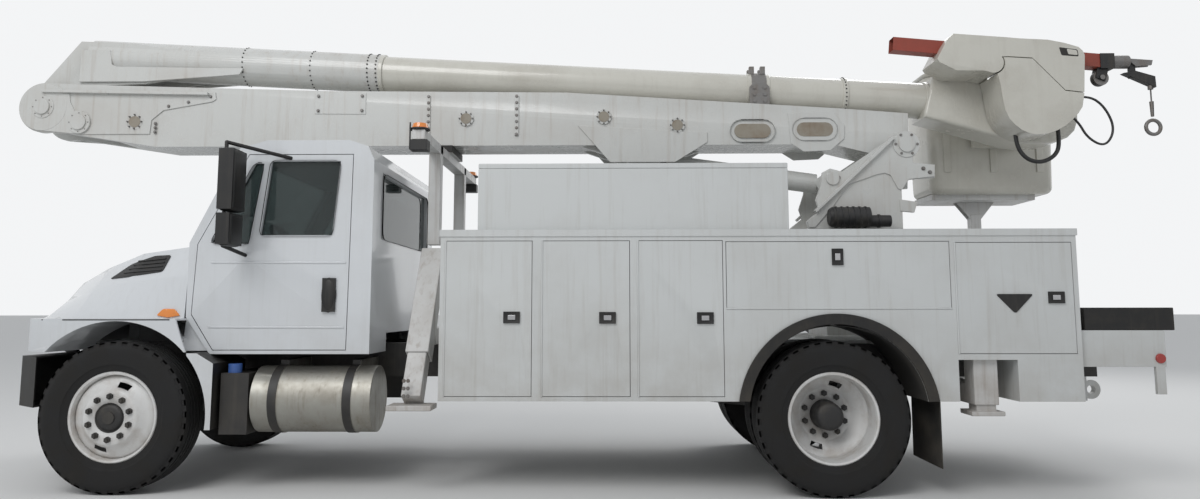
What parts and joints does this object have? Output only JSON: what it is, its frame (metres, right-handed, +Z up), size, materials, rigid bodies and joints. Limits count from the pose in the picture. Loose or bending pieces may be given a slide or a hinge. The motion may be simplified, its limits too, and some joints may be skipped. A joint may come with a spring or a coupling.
{
  "type": "bucket truck",
  "caption": "Aerial lift truck with an over-centre articulating boom, a work bucket with a jib, a compartmented utility body and outriggers.",
  "frame": {"origin": "on the ground, midway along the truck's length and on its centre plane", "axes": "+X to the rear, +Y to the kerb side, +Z up; the driver's side is -Y"},
  "size_m": [9.12, 2.7, 3.4831],
  "materials": {
    "white_paint": "gloss enamel",
    "cream_fibreglass": "gelcoat",
    "chassis_black": "satin",
    "engine_grey": "rough",
    "bumper_plastic": "grained",
    "grille_plastic": "smooth",
    "interior_plastic": "grained",
    "tank_aluminium": "brushed",
    "chrome_rod": "polished",
    "wheel_white": "satin",
    "tyre": "worn",
    "rubber": "matt",
    "glass": "clear, slightly tinted",
    "amber_lens": "smooth",
    "jib_red": "faded"
  },
  "bodies": {
    "truck": {"frame_rails": "chassis_black", "axles": "chassis_black", "leaf_springs": "chassis_black", "engine": "engine_grey", "front_bumper": "bumper_plastic", "tanks": "tank_aluminium", "cab_shell": "white_paint", "cab_glass": "glass", "cab_interior": "interior_plastic", "service_body": "white_paint", "side_pack_left": "white_paint", "side_pack_right": "white_paint", "rubber_guards": "rubber", "chest": "white_paint", "pedestal": "white_paint", "outrigger_frames": "white_paint", "rests": "white_paint", "beacons": "amber_lens"},
    "hood": {"hood": "white_paint", "grille_and_lamps": "grille_plastic"},
    "chest_lid": {"chest_lid": "white_paint"},
    "turret": {"turret": "white_paint"},
    "lower_boom": {"lower_boom": "white_paint"},
    "upper_boom": {"upper_boom_root": "white_paint", "upper_boom_tube": "cream_fibreglass", "boom_tip": "white_paint"},
    "platform": {"jib_head": "cream_fibreglass", "bucket": "cream_fibreglass"},
    "jib": {"jib_cover": "cream_fibreglass", "jib": "jib_red"},
    "lift_barrel": {"lift_barrel": "white_paint"},
    "lift_rod": {"lift_rod": "chrome_rod"},
    "knuckle_left": {"knuckle_left": "chassis_black"},
    "front_wheel_left": {"front_tyre_left": "tyre", "front_rim_left": "wheel_white"},
    "rear_wheels_left": {"rear_tyres_left": "tyre", "rear_rims_left": "wheel_white"},
    "cab_door_left": {"cab_door_left": "white_paint", "door_glass_left": "glass"},
    "front_outrigger_left": {"front_outrigger_left": "white_paint"},
    "rear_outrigger_left": {"rear_outrigger_left": "white_paint"},
    "side_door_1_left": {"side_door_1_left": "white_paint"},
    "side_door_2_left": {"side_door_2_left": "white_paint"},
    "side_door_3_left": {"side_door_3_left": "white_paint"},
    "side_door_5_left": {"side_door_5_left": "white_paint"},
    "side_door_4_left": {"side_door_4_left": "white_paint"},
    "knuckle_right": {"knuckle_right": "chassis_black"},
    "front_wheel_right": {"front_tyre_right": "tyre", "front_rim_right": "wheel_white"},
    "rear_wheels_right": {"rear_tyres_right": "tyre", "rear_rims_right": "wheel_white"},
    "cab_door_right": {"cab_door_right": "white_paint", "door_glass_right": "glass"},
    "front_outrigger_right": {"front_outrigger_right": "white_paint"},
    "rear_outrigger_right": {"rear_outrigger_right": "white_paint"},
    "side_door_1_right": {"side_door_1_right": "white_paint"},
    "side_door_2_right": {"side_door_2_right": "white_paint"},
    "side_door_3_right": {"side_door_3_right": "white_paint"},
    "side_door_5_right": {"side_door_5_right": "white_paint"},
    "side_door_4_right": {"side_door_4_right": "white_paint"}
  },
  "joints": [
    {"name": "steer_left", "type": "hinge", "parent": "truck", "child": "knuckle_left", "pos_m": [-3.11, -0.86, 0.51], "axis": [0, 0, 1], "range_deg": [-40, 40]},
    {"name": "front_wheel_turn_left", "type": "hinge", "parent": "knuckle_left", "child": "front_wheel_left", "pos_m": [-3.11, -1.012, 0.51], "axis": [0, 1, 0], "continuous": true},
    {"name": "rear_wheels_turn_left", "type": "hinge", "parent": "truck", "child": "rear_wheels_left", "pos_m": [1.73, -0.897, 0.51], "axis": [0, 1, 0], "continuous": true},
    {"name": "cab_door_open_left", "type": "hinge", "parent": "truck", "child": "cab_door_left", "pos_m": [-2.67, -1, 1.64], "axis": [0, 0, -1], "range_deg": [0, 65]},
    {"name": "front_outrigger_extend_left", "type": "slide", "parent": "truck", "child": "front_outrigger_left", "axis": [0, -0.5145, -0.8575], "range_m": [0, 0.7]},
    {"name": "rear_outrigger_extend_left", "type": "slide", "parent": "truck", "child": "rear_outrigger_left", "axis": [0, 0, -1], "range_m": [0, 0.56]},
    {"name": "side_door_1_open_left", "type": "hinge", "parent": "truck", "child": "side_door_1_left", "pos_m": [-0.856, -1.22, 1.2], "axis": [0, 0, -1], "range_deg": [0, 90]},
    {"name": "side_door_2_open_left", "type": "hinge", "parent": "truck", "child": "side_door_2_left", "pos_m": [-0.205, -1.22, 1.2], "axis": [0, 0, -1], "range_deg": [0, 90]},
    {"name": "side_door_3_open_left", "type": "hinge", "parent": "truck", "child": "side_door_3_left", "pos_m": [0.439, -1.22, 1.2], "axis": [0, 0, -1], "range_deg": [0, 90]},
    {"name": "side_door_5_open_left", "type": "hinge", "parent": "truck", "child": "side_door_5_left", "pos_m": [2.555, -1.22, 1.2], "axis": [0, 0, -1], "range_deg": [0, 90]},
    {"name": "side_door_4_open_left", "type": "hinge", "parent": "truck", "child": "side_door_4_left", "pos_m": [1.77, -1.22, 1.235], "axis": [1, 0, 0], "range_deg": [0, 90]},
    {"name": "steer_right", "type": "hinge", "parent": "truck", "child": "knuckle_right", "pos_m": [-3.11, 0.86, 0.51], "axis": [0, 0, 1], "range_deg": [-40, 40]},
    {"name": "front_wheel_turn_right", "type": "hinge", "parent": "knuckle_right", "child": "front_wheel_right", "pos_m": [-3.11, 1.012, 0.51], "axis": [0, 1, 0], "continuous": true},
    {"name": "rear_wheels_turn_right", "type": "hinge", "parent": "truck", "child": "rear_wheels_right", "pos_m": [1.73, 0.897, 0.51], "axis": [0, 1, 0], "continuous": true},
    {"name": "cab_door_open_right", "type": "hinge", "parent": "truck", "child": "cab_door_right", "pos_m": [-2.67, 1, 1.64], "axis": [0, 0, 1], "range_deg": [0, 65]},
    {"name": "front_outrigger_extend_right", "type": "slide", "parent": "truck", "child": "front_outrigger_right", "axis": [0, 0.5145, -0.8575], "range_m": [0, 0.7]},
    {"name": "rear_outrigger_extend_right", "type": "slide", "parent": "truck", "child": "rear_outrigger_right", "axis": [0, 0, -1], "range_m": [0, 0.56]},
    {"name": "side_door_1_open_right", "type": "hinge", "parent": "truck", "child": "side_door_1_right", "pos_m": [-0.856, 1.22, 1.2], "axis": [0, 0, 1], "range_deg": [0, 90]},
    {"name": "side_door_2_open_right", "type": "hinge", "parent": "truck", "child": "side_door_2_right", "pos_m": [-0.205, 1.22, 1.2], "axis": [0, 0, 1], "range_deg": [0, 90]},
    {"name": "side_door_3_open_right", "type": "hinge", "parent": "truck", "child": "side_door_3_right", "pos_m": [0.439, 1.22, 1.2], "axis": [0, 0, 1], "range_deg": [0, 90]},
    {"name": "side_door_5_open_right", "type": "hinge", "parent": "truck", "child": "side_door_5_right", "pos_m": [2.555, 1.22, 1.2], "axis": [0, 0, 1], "range_deg": [0, 90]},
    {"name": "side_door_4_open_right", "type": "hinge", "parent": "truck", "child": "side_door_4_right", "pos_m": [1.77, 1.22, 1.235], "axis": [-1, 0, 0], "range_deg": [0, 90]},
    {"name": "hood_tilt", "type": "hinge", "parent": "truck", "child": "hood", "pos_m": [-3.91, 0, 0.925], "axis": [0, -1, 0], "range_deg": [0, 70]},
    {"name": "chest_lid_open", "type": "hinge", "parent": "truck", "child": "chest_lid", "pos_m": [0.41, -1.18, 2.19], "axis": [1, 0, 0], "range_deg": [0, 95]},
    {"name": "turret_swing", "type": "hinge", "parent": "truck", "child": "turret", "pos_m": [2.21, 0, 1.8], "axis": [0, 0, 1], "continuous": true},
    {"name": "lower_boom_lift", "type": "hinge", "parent": "turret", "child": "lower_boom", "pos_m": [2.565, 0, 2.512], "axis": [0, 1, 0], "range_deg": [0, 120]},
    {"name": "elbow_open", "type": "hinge", "parent": "lower_boom", "child": "upper_boom", "pos_m": [-4.355, 0, 2.869], "axis": [0, -1, 0], "range_deg": [0, 240]},
    {"name": "platform_level", "type": "hinge", "parent": "upper_boom", "child": "platform", "pos_m": [3.615, 0, 2.948], "axis": [0, 1, 0], "range_deg": [0, 120]},
    {"name": "lift_barrel_turn", "type": "hinge", "parent": "turret", "child": "lift_barrel", "pos_m": [1.983, 0, 2.243], "axis": [0, 1, 0], "range_deg": [0, 119]},
    {"name": "lift_rod_extend", "type": "slide", "parent": "lift_barrel", "child": "lift_rod", "axis": [-0.9911, 0, 0.1335], "range_m": [0, 1.111]},
    {"name": "jib_tilt", "type": "hinge", "parent": "platform", "child": "jib", "pos_m": [3.2, -0.335, 3.118], "axis": [0, -1, 0], "range_deg": [0, 60]}
  ],
  "couplings": [
    {"joint": "steer_right", "follows": "steer_left", "ratio": 1},
    {"joint": "elbow_open", "follows": "lower_boom_lift", "ratio": 2},
    {"joint": "platform_level", "follows": "lower_boom_lift", "ratio": 1},
    {"joint": "lift_barrel_turn", "follows": "lower_boom_lift", "ratio": 0.991},
    {"joint": "lift_rod_extend", "follows": "lower_boom_lift", "m_per_rad": 0.53}
  ]
}
